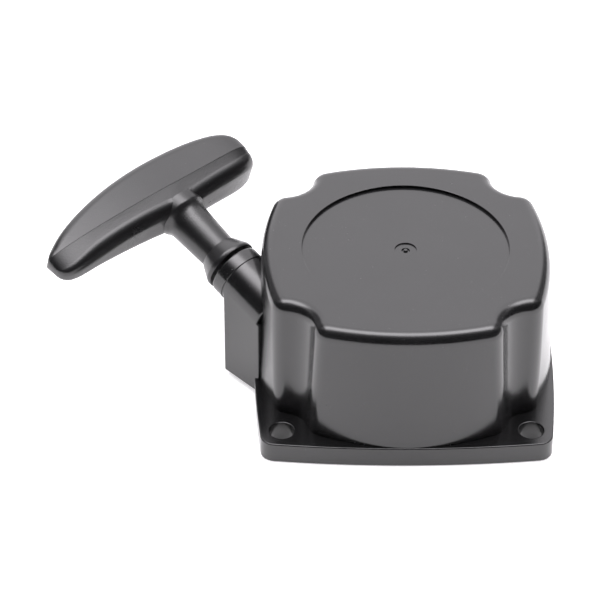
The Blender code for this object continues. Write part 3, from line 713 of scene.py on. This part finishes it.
def make_housing():
    tube = [
        (0.0, 0.0),
        (MOUTH_RADIUS, 0.0),
        (MOUTH_RADIUS, -GUSSET_SHORT),
        (TUBE_RADIUS, -GUSSET_SHORT),
        (TUBE_RADIUS, -TUBE_LENGTH),
        (0.0, -TUBE_LENGTH),
    ]
    hollow = [
        (0.0, INSERT_TOP + INSERT_HEADROOM),
        (INSERT_RADIUS + CLEAR, INSERT_TOP + INSERT_HEADROOM),
        (INSERT_RADIUS + CLEAR, POST_BOTTOM),
        (POST_RADIUS, POST_BOTTOM),
        (POST_RADIUS, ROOF_UNDERSIDE),
        (SPRING_CHAMBER, ROOF_UNDERSIDE),
        (SPRING_CHAMBER, SPRING_RIM_BOTTOM),
        (SPRING_RIM_OUTER, SPRING_RIM_BOTTOM),
        (SPRING_RIM_OUTER, ROOF_UNDERSIDE),
        (CHAMBER_RADIUS, ROOF_UNDERSIDE),
        (CHAMBER_RADIUS, MOUTH_CHAMFER - 0.0001),
        (CHAMBER_RADIUS + MOUTH_CHAMFER, -PAST),
        (0.0, -PAST),
    ]
    floor = CUP_TOP - RECESS_DEPTH
    recess = [
        (0.0, CUP_TOP + PAST),
        (RECESS_RADIUS + 10 * RECESS_RIM, CUP_TOP + PAST),
        (RECESS_RADIUS + RECESS_RIM, CUP_TOP),
        (RECESS_RADIUS + 0.25 * RECESS_RIM, CUP_TOP - 0.5 * RECESS_RIM),
        (RECESS_RADIUS, CUP_TOP - 1.25 * RECESS_RIM),
        (RECESS_RADIUS, floor),
        (GATE_RADIUS, floor),
        (GATE_RADIUS - 0.0001, floor - GATE_DEPTH),
        (SPRUE_RADIUS, floor - GATE_DEPTH),
        (SPRUE_RADIUS - 0.0002, floor - SPRUE_DEPTH),
        (SPRUE_RADIUS - 0.0005, floor - SPRUE_DEPTH),
        (0.00045, floor - 0.0001),
        (0.0, floor - 0.00005),
    ]
    bore = [
        (0.0, PAST),
        (GUIDE_LIP + CLEAR + 0.0013, PAST),
        (GUIDE_LIP + CLEAR, -CLEAR),
        (GUIDE_LIP + CLEAR, -LIP_SEAT),
        (GUIDE_BODY + CLEAR, -LIP_SEAT),
        (GUIDE_BODY + CLEAR, -GUIDE_SEAT),
        (ROPE_TUNNEL, -GUIDE_SEAT),
        (ROPE_TUNNEL, -TUNNEL_LENGTH),
        (0.0, -TUNNEL_LENGTH),
    ]
    hole = [
        (0.0, FLANGE_TOP + 2 * PAST),
        (BOLT_HOLE + 8 * HOLE_RIM, FLANGE_TOP + 2 * PAST),
        (BOLT_HOLE + HOLE_RIM, FLANGE_TOP),
        (BOLT_HOLE + HOLE_RIM / 3, FLANGE_TOP - HOLE_RIM / 3),
        (BOLT_HOLE, FLANGE_TOP - HOLE_RIM),
        (BOLT_HOLE, -PAST),
        (0.0, -PAST),
    ]
    tube_mesh = revolve("tube", rounded(tube, 1.5 * ROUNDING, closed=False), 96, closed=False)
    tools = [
        ("UNION", cup_mesh()),
        ("UNION", gusset_mesh()),
        ("UNION", in_crank_frame(tube_mesh)),
        ("DIFFERENCE", revolve("hollow", hollow, 128, closed=False)),
    ]
    for number in range(3):
        at = boss_place(number)
        boss = cylinder("boss", BOSS_RADIUS, SPRING_RIM_BOTTOM, ROOF_UNDERSIDE + PAST, at, 24)
        boss_hole = cylinder("boss_hole", BOSS_HOLE, SPRING_RIM_BOTTOM - PAST, BOSS_HOLE_TOP, at, 16)
        tools.append(("UNION", boss))
        tools.append(("DIFFERENCE", boss_hole))
    tools.append(("DIFFERENCE", revolve("recess", recess, 160, closed=False)))
    tools.append(("DIFFERENCE", in_crank_frame(revolve("bore", bore, 64, closed=False))))
    bolt = BOLT_PITCH / 2
    for sx, sy in ((-1, -1), (1, -1), (1, 1), (-1, 1)):
        cutter = revolve("bolt_hole", hole, 48, closed=False)
        cutter.transform(Matrix.Translation((sx * bolt, sy * bolt, 0.0)))
        tools.append(("DIFFERENCE", cutter))
    mesh = join(flange_mesh(), tools, "housing_shell")
    nodes = ["housing"]
    return piece("housing_shell", mesh, crank, black_plastic, "housing", nodes, 30)


# ---------------------------------------------------------------- grip

def grip_section(position):
    """One cross-section of the grip's bar: x along it, y up, z outwards along the exit axis.

    The powers of t round the bar's two ends, which are a long one and a short one.
    """
    if position >= 0:
        t = position / GRIP_LONG
        end = (1 - t**14) ** 0.30
        palm = GRIP_PALM * (1 - t**2) ** 0.68
        fingers = (GRIP_FINGERS + 0.0022 * t**3 + 0.0015 * (1 - t) ** 4) * end
        half = GRIP_HALF_THICK * (1 - 0.5 * t**2) * end
    else:
        t = -position / GRIP_SHORT
        end = (1 - t**10) ** 0.25
        palm = GRIP_PALM * (1 - t**2.1) ** 0.33
        fingers = (GRIP_FINGERS + 0.0002 + 0.0013 * (1 - t) ** 4) * end
        half = GRIP_HALF_THICK * (1 + 0.08 * t**2) * end
    step = min(GRIP_STEP, 0.05 * half)
    inner = half - step - GRIP_DRAFT * fingers
    palm_edge = min(GRIP_PALM_EDGE, 0.8 * half, 0.9 * palm)
    finger_edge = min(GRIP_FINGER_EDGE, 0.8 * inner, 0.7 * fingers)
    side = []
    count = 12
    for share in (0.25, 0.6):
        side.append((GRIP_PARTING + palm, (half - palm_edge) * share))
    for i in range(count + 1):
        across, level = polar(palm_edge, math.pi / 2 * i / count)
        side.append((GRIP_PARTING + palm - palm_edge + across, half - palm_edge + level))
    side += [
        (GRIP_PARTING + 0.5 * (palm - palm_edge), half),
        (GRIP_PARTING, half),
        (GRIP_PARTING - 0.00003, half - step),
    ]
    for i in range(count + 1):
        across, level = polar(finger_edge, math.pi / 2 + math.pi / 2 * i / count)
        side.append((GRIP_PARTING - fingers + finger_edge + across, inner - finger_edge + level))
    for share in (0.6, 0.25):
        side.append((GRIP_PARTING - fingers, (inner - finger_edge) * share))
    other = [(z, -y) for z, y in reversed(side)]
    return [Vector((-position, y, z)) for z, y in side + other]


def make_grip():
    stations = []
    count = 84
    for i in range(count + 1):
        reach = math.cos(math.pi * (0.004 + 0.992 * i / count))
        stations.append(reach * (GRIP_LONG if reach > 0 else GRIP_SHORT))
    bar = loft("grip_bar", [grip_section(s) for s in stations])
    neck = [
        (0.0, NECK_END),
        (NECK_FLARE, NECK_END),
        (NECK_FLARE, NECK_ROOT + 0.0006),
        (0.00675, NECK_ROOT + 0.0001),
        (0.0063, NECK_ROOT - 0.0006),
        (0.0060, NECK_ROOT - 0.0012),
        (0.00582, NECK_ROOT - 0.0020),
        (0.00570, NECK_ROOT - 0.0036),
        (0.00518, COLLAR_END + 0.0004),
        (0.00516, COLLAR_END + 0.0001),
        (0.00552, COLLAR_END),
        (0.00572, COLLAR_END - 0.0003),
        (MOUTH_RADIUS - 0.00012, GAP + 0.0015),
        (MOUTH_RADIUS, GAP + 0.0011),
        (MOUTH_RADIUS, GAP + 0.0003),
        (MOUTH_RADIUS - 0.0001, GAP + 0.0001),
        (MOUTH_RADIUS - 0.0003, GAP),
        (0.0, GAP),
    ]
    bore = [
        (0.0, GRIP_PARTING + GRIP_PALM + 2 * PAST),
        (KNOT_POCKET, GRIP_PARTING + GRIP_PALM + 2 * PAST),
        (KNOT_POCKET, KNOT_SEAT),
        (ROPE_HOLE, KNOT_SEAT),
        (ROPE_HOLE, GAP + 0.0015),
        (ROPE_HOLE + 0.0013, GAP - PAST),
        (0.0, GAP - PAST),
    ]
    tools = [
        ("UNION", revolve("neck", neck, 96, closed=False)),
        ("DIFFERENCE", revolve("grip_bore", bore, 48, closed=False)),
    ]
    mesh = join(bar, tools, "grip_moulding")
    return piece("grip_moulding", mesh, outlet, grip_plastic, "grip", ["grip"], 34)


# ---------------------------------------------------------------- reel, pawls and small parts

def pawl_point(number, x, y, z):
    """A point of one pawl's frame in the reel's frame."""
    turn = math.pi * number
    c, s = math.cos(PAWL_REST), math.sin(PAWL_REST)
    px, py = x * c - y * s, x * s + y * c + PAWL_PIVOT
    return (px * math.cos(turn) - py * math.sin(turn), px * math.sin(turn) + py * math.cos(turn), z)


def make_reel():
    groove_low = GROOVE_MIDDLE - GROOVE_WIDTH / 2
    groove_high = GROOVE_MIDDLE + GROOVE_WIDTH / 2
    top = groove_high + CHEEK
    hub_top = ROOF_UNDERSIDE - HUB_GAP
    web_top = REEL_BOTTOM + WEB_THICKNESS
    nose = GUIDE_TOP + CLEAR
    profile = [
        (REEL_BORE, hub_top),
        (HUB_RADIUS, hub_top),
        (HUB_RADIUS, web_top),
        (DRUM_INNER, web_top),
        (DRUM_INNER, top),
        (REEL_RADIUS, top),
        (REEL_RADIUS, groove_high),
        (DRUM_RADIUS, groove_high),
        (DRUM_RADIUS, groove_low),
        (REEL_RADIUS, groove_low),
        (REEL_RADIUS, REEL_BOTTOM),
        (NOSE_RADIUS, REEL_BOTTOM),
        (NOSE_RADIUS, nose),
        (REEL_BORE, nose),
    ]
    tools = []
    for number in range(2):
        at = pawl_point(number, 0.0, 0.0, 0.0)[:2]
        stud = [
            (0.0, REEL_BOTTOM + PAST),
            (STUD_RADIUS, REEL_BOTTOM + PAST),
            (STUD_RADIUS, GUIDE_TOP + 0.0004),
            (0.0, GUIDE_TOP + 0.0004),
        ]
        mesh = revolve("stud", rounded(stud, 0.0003, closed=False), 32, closed=False)
        mesh.transform(Matrix.Translation((*at, 0.0)))
        tools.append(("UNION", mesh))
        at = pawl_point(number, *SPRING_ANCHOR, 0.0)[:2]
        anchor = cylinder("anchor", ANCHOR_RADIUS, PAWL_TOP + 0.0004, REEL_BOTTOM + PAST, at, 20)
        tools.append(("UNION", anchor))
    for number in range(4):
        at = polar(WINDOW_CIRCLE, math.radians(20 + 90 * number))
        window = cylinder("window", WINDOW_RADIUS, REEL_BOTTOM - PAST, web_top + PAST, at, 40)
        tools.append(("DIFFERENCE", window))
    notch = block("notch", HUB_NOTCH, (HUB_RADIUS - 0.0003, 0.0, HUB_NOTCH_HEIGHT), SPRING_START)
    tools.append(("DIFFERENCE", notch))
    mesh = join(revolve("reel", rounded(profile, ROUNDING), 144), tools, "reel_moulding")
    return piece("reel_moulding", mesh, crank, grey_plastic, "reel", ["reel"])


def make_pawls():
    outline = arc((0.0, 0.0), PAWL_EYE, math.radians(40), math.radians(320), 36)
    outline += [
        polar(PAWL_EYE, math.radians(320)),
        (CLAW_HEEL, -PAWL_HALF_WIDTH),
        (CLAW_TIP, 0.0002),
        (CLAW_TIP - 0.0002, PAWL_HALF_WIDTH),
    ]
    for number in range(2):
        body = loft("pawl", [flat_ring(outline, PAWL_BOTTOM), flat_ring(outline, PAWL_TOP)])
        eye = cylinder("eye", STUD_RADIUS + CLEAR, PAWL_BOTTOM - PAST, PAWL_TOP + PAST, segments=40)
        mesh = bevelled(join(body, [("DIFFERENCE", eye)], "pawl"), PAWL_EDGE)
        turn = Matrix.Rotation(PAWL_REST + math.pi * number, 4, "Z")
        matrix = crank @ Matrix.Translation(pawl_point(number, 0.0, 0.0, 0.0)) @ turn
        label = number + 1
        body_name = f"pawl_{label}"
        piece(f"pawl_arm_{label}", mesh, matrix, steel, body_name, [body_name])
        wire = sweep("pawl_spring", pawl_spring_points(), SPRING_WIRE, 10)
        name, node = f"pawl_wire_{label}", f"pawl_spring_{label}"
        spring = piece(name, wire, matrix, spring_steel, None, [node])
        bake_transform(spring)


def pawl_spring_points():
    """A hook over the arm's outer edge, a turn round the stud, and a leg against the anchor."""
    low = PAWL_TOP + CLEAR + SPRING_WIRE
    high = REEL_BOTTOM - CLEAR - SPRING_WIRE
    edge = PAWL_HALF_WIDTH + CLEAR + SPRING_WIRE
    bend = SPRING_HOOK - 0.0004
    points = [
        (SPRING_HOOK, edge, PAWL_BOTTOM + 0.0012),
        (SPRING_HOOK, edge, low - 0.0004),
        (bend, edge, low),
    ]
    for i in range(6):
        share = i / 6
        points.append((bend - 0.0004 - 0.0046 * share, edge + (SPRING_COIL - edge) * share, low))
    count = 40
    for i in range(count + 1):
        share = i / count
        at = polar(SPRING_COIL, math.pi / 2 + math.tau * share)
        points.append((*at, low + (high - low) * share))
    points.append((SPRING_ANCHOR[0] - 0.0012, SPRING_COIL, high))
    return points


def make_ratchet_guide():
    low = GUIDE_TOP - GUIDE_THICKNESS
    guide = [(GUIDE_HOLE, GUIDE_TOP), (GUIDE_RADIUS, GUIDE_TOP), (GUIDE_RADIUS, low), (GUIDE_HOLE, low)]
    tools = []
    for number in range(2):
        at = polar(PEG_CIRCLE, PEG_ANGLE + math.pi * number)
        tools.append(("UNION", cylinder("peg", PEG_RADIUS, GUIDE_TOP - PAST, PAWL_TOP - CLEAR, at, 24)))
    mesh = join(revolve("guide", rounded(guide, ROUNDING), 96), tools, "guide")
    piece("guide_disc", mesh, crank, grey_plastic, "ratchet_guide", ["ratchet_guide"])


def cross_slot(size, level):
    """Two crossed bars that cut a screwdriver's slot into a head."""
    return [("DIFFERENCE", block("cross", size, (0.0, 0.0, level), math.pi / 2 * k)) for k in range(2)]


def make_centre_screw():
    screw = [
        (0.0, INSERT_TOP - 0.0010),
        (SHANK_RADIUS - 0.0004, INSERT_TOP - 0.0010),
        (SHANK_RADIUS, INSERT_TOP - 0.0014),
        (SHANK_RADIUS, HEAD_TOP),
        (HEAD_RADIUS, HEAD_TOP),
        (HEAD_RADIUS, HEAD_BOTTOM + 0.0007),
        (HEAD_RADIUS - 0.0009, HEAD_BOTTOM),
        (0.0, HEAD_BOTTOM),
    ]
    turned = revolve("screw", rounded(screw, 0.0003, closed=False), 48, closed=False)
    mesh = join(turned, cross_slot(CROSS_SLOT, HEAD_BOTTOM), "screw")
    piece("centre_screw_turned", mesh, crank, steel, "housing", ["centre_screw"])


def make_thrust_washer():
    washer = [
        (WASHER_BORE, WASHER_TOP),
        (WASHER_RADIUS, WASHER_TOP),
        (WASHER_RADIUS, WASHER_BOTTOM),
        (WASHER_BORE, WASHER_BOTTOM),
    ]
    mesh = revolve("washer", rounded(washer, FINE_ROUNDING), 72)
    piece("thrust_washer_turned", mesh, crank, steel, "housing", ["thrust_washer"])


def make_rope_guide():
    bush = [
        (GUIDE_BORE, -GUIDE_FACE),
        (GUIDE_LIP, -GUIDE_FACE),
        (GUIDE_LIP, -GUIDE_FACE - LIP_THICKNESS),
        (GUIDE_BODY, -GUIDE_FACE - LIP_THICKNESS),
        (GUIDE_BODY, -GUIDE_LENGTH),
        (GUIDE_BORE, -GUIDE_LENGTH),
    ]
    mesh = revolve("bush", rounded(bush, 1.5 * ROUNDING), 64)
    piece("rope_guide_bush", mesh, outlet, steel, "housing", ["rope_guide"])


def make_spring_cover():
    """The thin disc over the mainspring and its three small screws."""
    high = SPRING_RIM_BOTTOM - CLEAR
    low = high - COVER_THICKNESS
    inner = HUB_RADIUS + COVER_GAP
    cover = [(inner, high), (COVER_RADIUS, high), (COVER_RADIUS, low), (inner, low)]
    head = low - 0.0002
    tip = head - 0.0010
    screw = [
        (0.0, COVER_SCREW_TOP),
        (COVER_SCREW, COVER_SCREW_TOP),
        (COVER_SCREW, head),
        (COVER_SCREW_HEAD, head),
        (COVER_SCREW_HEAD, head - 0.0006),
        (COVER_SCREW_HEAD - 0.0006, tip),
        (0.0, tip),
    ]
    holes = []
    for number in range(3):
        at = boss_place(number)
        holes.append(("DIFFERENCE", cylinder("cover_hole", COVER_HOLE, low - PAST, high + PAST, at, 24)))
        turned = revolve("cover_screw", rounded(screw, FINE_ROUNDING, closed=False), 32, closed=False)
        mesh = join(turned, cross_slot(COVER_SCREW_SLOT, tip), "cover_screw")
        matrix = crank @ Matrix.Translation((*at, 0.0))
        label = number + 1
        name, node = f"cover_screw_turned_{label}", f"cover_screw_{label}"
        piece(name, mesh, matrix, steel, "housing", [node])
    mesh = join(revolve("cover", rounded(cover, FINE_ROUNDING), 128), holes, "cover")
    piece("spring_cover_disc", mesh, crank, steel, "housing", ["spring_cover"])


def make_friction_spring():
    low = WASHER_TOP + CLEAR + FRICTION_WIRE
    high = GUIDE_TOP - GUIDE_THICKNESS - CLEAR - FRICTION_WIRE
    points = []
    count = 96
    for i in range(count + 1):
        share = i / count
        at = polar(FRICTION_COIL, math.tau * FRICTION_TURNS * share)
        points.append((*at, low + (high - low) * share))
    mesh = sweep("friction_spring", points, FRICTION_WIRE, 12)
    piece("friction_coil", mesh, crank, spring_steel, "housing", ["friction_spring"])


# ---------------------------------------------------------------- rope

def make_rope():
    slope = math.tan(EXIT_TILT)
    start = 2 * CLEAR
    end = EXIT_RUN + KNOT_SEAT * math.cos(EXIT_TILT)
    bend = EXIT_RUN - (EXIT_HEIGHT - GROOVE_MIDDLE) / slope
    points = []
    count = 120
    for i in range(count + 1):
        run = start + (end - start) * i / count
        past = max(0.0, min(run - bend + LEAD_EASE, 2 * LEAD_EASE))
        rise = slope * (past**2 / (4 * LEAD_EASE) + max(0.0, run - bend - LEAD_EASE))
        points.append(tangent_point + exit_dir * run + Vector((0, 0, GROOVE_MIDDLE + rise)))
    mesh = sweep("rope", points, ROPE_RADIUS, 24)
    lead = piece("rope_cord", mesh, crank, rope, None, ["rope_lead"])
    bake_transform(lead)


def tied_knot(name, node, matrix, body):
    """A trefoil knot of the same cord, scaled to fill the space its CAD solid holds."""
    size = (KNOT_RADIUS - KNOT_CORD) / 3.0
    points = []
    count = 97
    for i in range(count):
        t = math.tau * i / count
        x = math.sin(t) + 2 * math.sin(2 * t)
        y = math.cos(t) - 2 * math.cos(2 * t)
        z = -math.sin(3 * t)
        points.append(Vector((x * size, y * size, z * size * 1.3)))
    points.append(points[0])
    piece(name, sweep(name, points, KNOT_CORD, 14), matrix, rope, body, [node])


def make_knots():
    for name, node, body in (
        ("knot_at_reel", "rope_knot_reel", "reel"),
        ("knot_at_grip", "rope_knot_grip", "grip"),
    ):
        low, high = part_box(node)
        tied_knot(name, node, Matrix.Translation((low + high) / 2) @ outlet.to_3x3().to_4x4(), body)


# ---------------------------------------------------------------- studio

def make_floor():
    """White paper under the part, seen through from below."""
    bm = bmesh.new()
    bmesh.ops.create_grid(bm, x_segments=2, y_segments=2, size=12.0)
    mesh = bpy.data.meshes.new("floor")
    bm.to_mesh(mesh)
    bm.free()
    floor = bpy.data.objects.new("floor", mesh)
    bpy.context.scene.collection.objects.link(floor)
    floor.location.z = -0.0002
    paper = bpy.data.materials.new("floor_paper")
    paper.use_nodes = True
    g = Graph(paper.node_tree)
    shader = g.tree.nodes["Principled BSDF"]
    shader.inputs["Base Color"].default_value = (0.90, 0.90, 0.90, 1.0)
    shader.inputs["Roughness"].default_value = 0.9
    shader.inputs["Specular IOR Level"].default_value = 0.0
    shader.inputs["Emission Color"].default_value = (1.0, 0.985, 1.0, 1.0)
    shader.inputs["Emission Strength"].default_value = 0.65
    see_through = g.add("ShaderNodeBsdfTransparent")
    geometry = g.add("ShaderNodeNewGeometry")
    mixer = g.add("ShaderNodeMixShader")
    g.link(geometry.outputs["Backfacing"], mixer.inputs[0])
    g.link(shader.outputs[0], mixer.inputs[1])
    g.link(see_through.outputs[0], mixer.inputs[2])
    g.link(mixer.outputs[0], g.tree.nodes["Material Output"].inputs["Surface"])
    mesh.materials.append(paper)


def make_light():
    """A strip of light overhead, a bright back, and a dark front and dark low sides."""
    world = bpy.data.worlds.new("studio")
    bpy.context.scene.world = world
    world.use_nodes = True
    g = Graph(world.node_tree)
    background = g.tree.nodes["Background"]
    parts = g.add("ShaderNodeSeparateXYZ")
    g.link(g.add("ShaderNodeTexCoord").outputs["Generated"], parts.inputs[0])
    x, y, z = parts.outputs
    # Turn about the X axis in degrees: 0 is level towards the camera, 90 overhead, 180 level behind
    angle = g.maths("ARCTAN2", z, g.maths("MULTIPLY", y, -1.0))
    ramp = g.add("ShaderNodeValToRGB")
    ramp.color_ramp.interpolation = "LINEAR"
    stops = [
        (-180, 0.16),
        (-2, 0.16),
        (0, 0.02),
        (62, 0.02),
        (76, 0.12),
        (84, 0.80),
        (90, 0.94),
        (102, 0.94),
        (110, 0.36),
        (122, 0.265),
        (179, 0.225),
    ]
    elements = ramp.color_ramp.elements
    for index, (degrees, level) in enumerate(stops):
        place = (degrees + 180) / 360
        element = elements[index] if index < 2 else elements.new(place)
        element.position = place
        element.color = (level, level * 0.975, level * 1.01, 1.0)
    g.link(g.remap(angle, -math.pi, math.pi, 0.0, 1.0), ramp.inputs["Fac"])
    g.link(ramp.outputs["Color"], background.inputs["Color"])
    height = g.maths("ADD", z, g.maths("MULTIPLY", g.maths("MAXIMUM", y, 0.0), 1.5))
    above = g.remap(height, 0.55, 0.90, 0.5, 8.0, "SMOOTHSTEP")
    beside = g.remap(g.maths("ABSOLUTE", x, 0.0), 0.40, 0.62, 1.0, 0.15, "SMOOTHSTEP")
    below = g.maths("MULTIPLY", g.maths("LESS_THAN", z, 0.0), 8.0)
    strength = g.maths("MAXIMUM", g.maths("MULTIPLY", above, beside), below)
    g.link(strength, background.inputs["Strength"])


def make_camera():
    data = bpy.data.cameras.new("camera")
    data.lens = LENS
    data.sensor_width = SENSOR_WIDTH
    camera = bpy.data.objects.new("camera", data)
    bpy.context.scene.collection.objects.link(camera)
    camera.rotation_euler = (math.pi / 2 - CAMERA_ELEVATION, 0.0, CAMERA_AZIMUTH)
    camera.location = CRANK + CAMERA_PLACE
    bpy.context.scene.camera = camera


make_camera()
make_floor()
make_light()
bpy.context.scene.view_settings.view_transform = "Standard"

make_housing()
make_grip()
make_reel()
make_pawls()
make_ratchet_guide()
make_centre_screw()
make_thrust_washer()
make_rope_guide()
make_spring_cover()
make_friction_spring()
make_rope()
make_knots()
for node, look in (
    ("post_insert", brass),
    ("mainspring", spring_steel),
    ("rope_windings", rope),
):
    obj = frame["nodes"][node]
    obj.data.materials.clear()
    obj.data.materials.append(look)
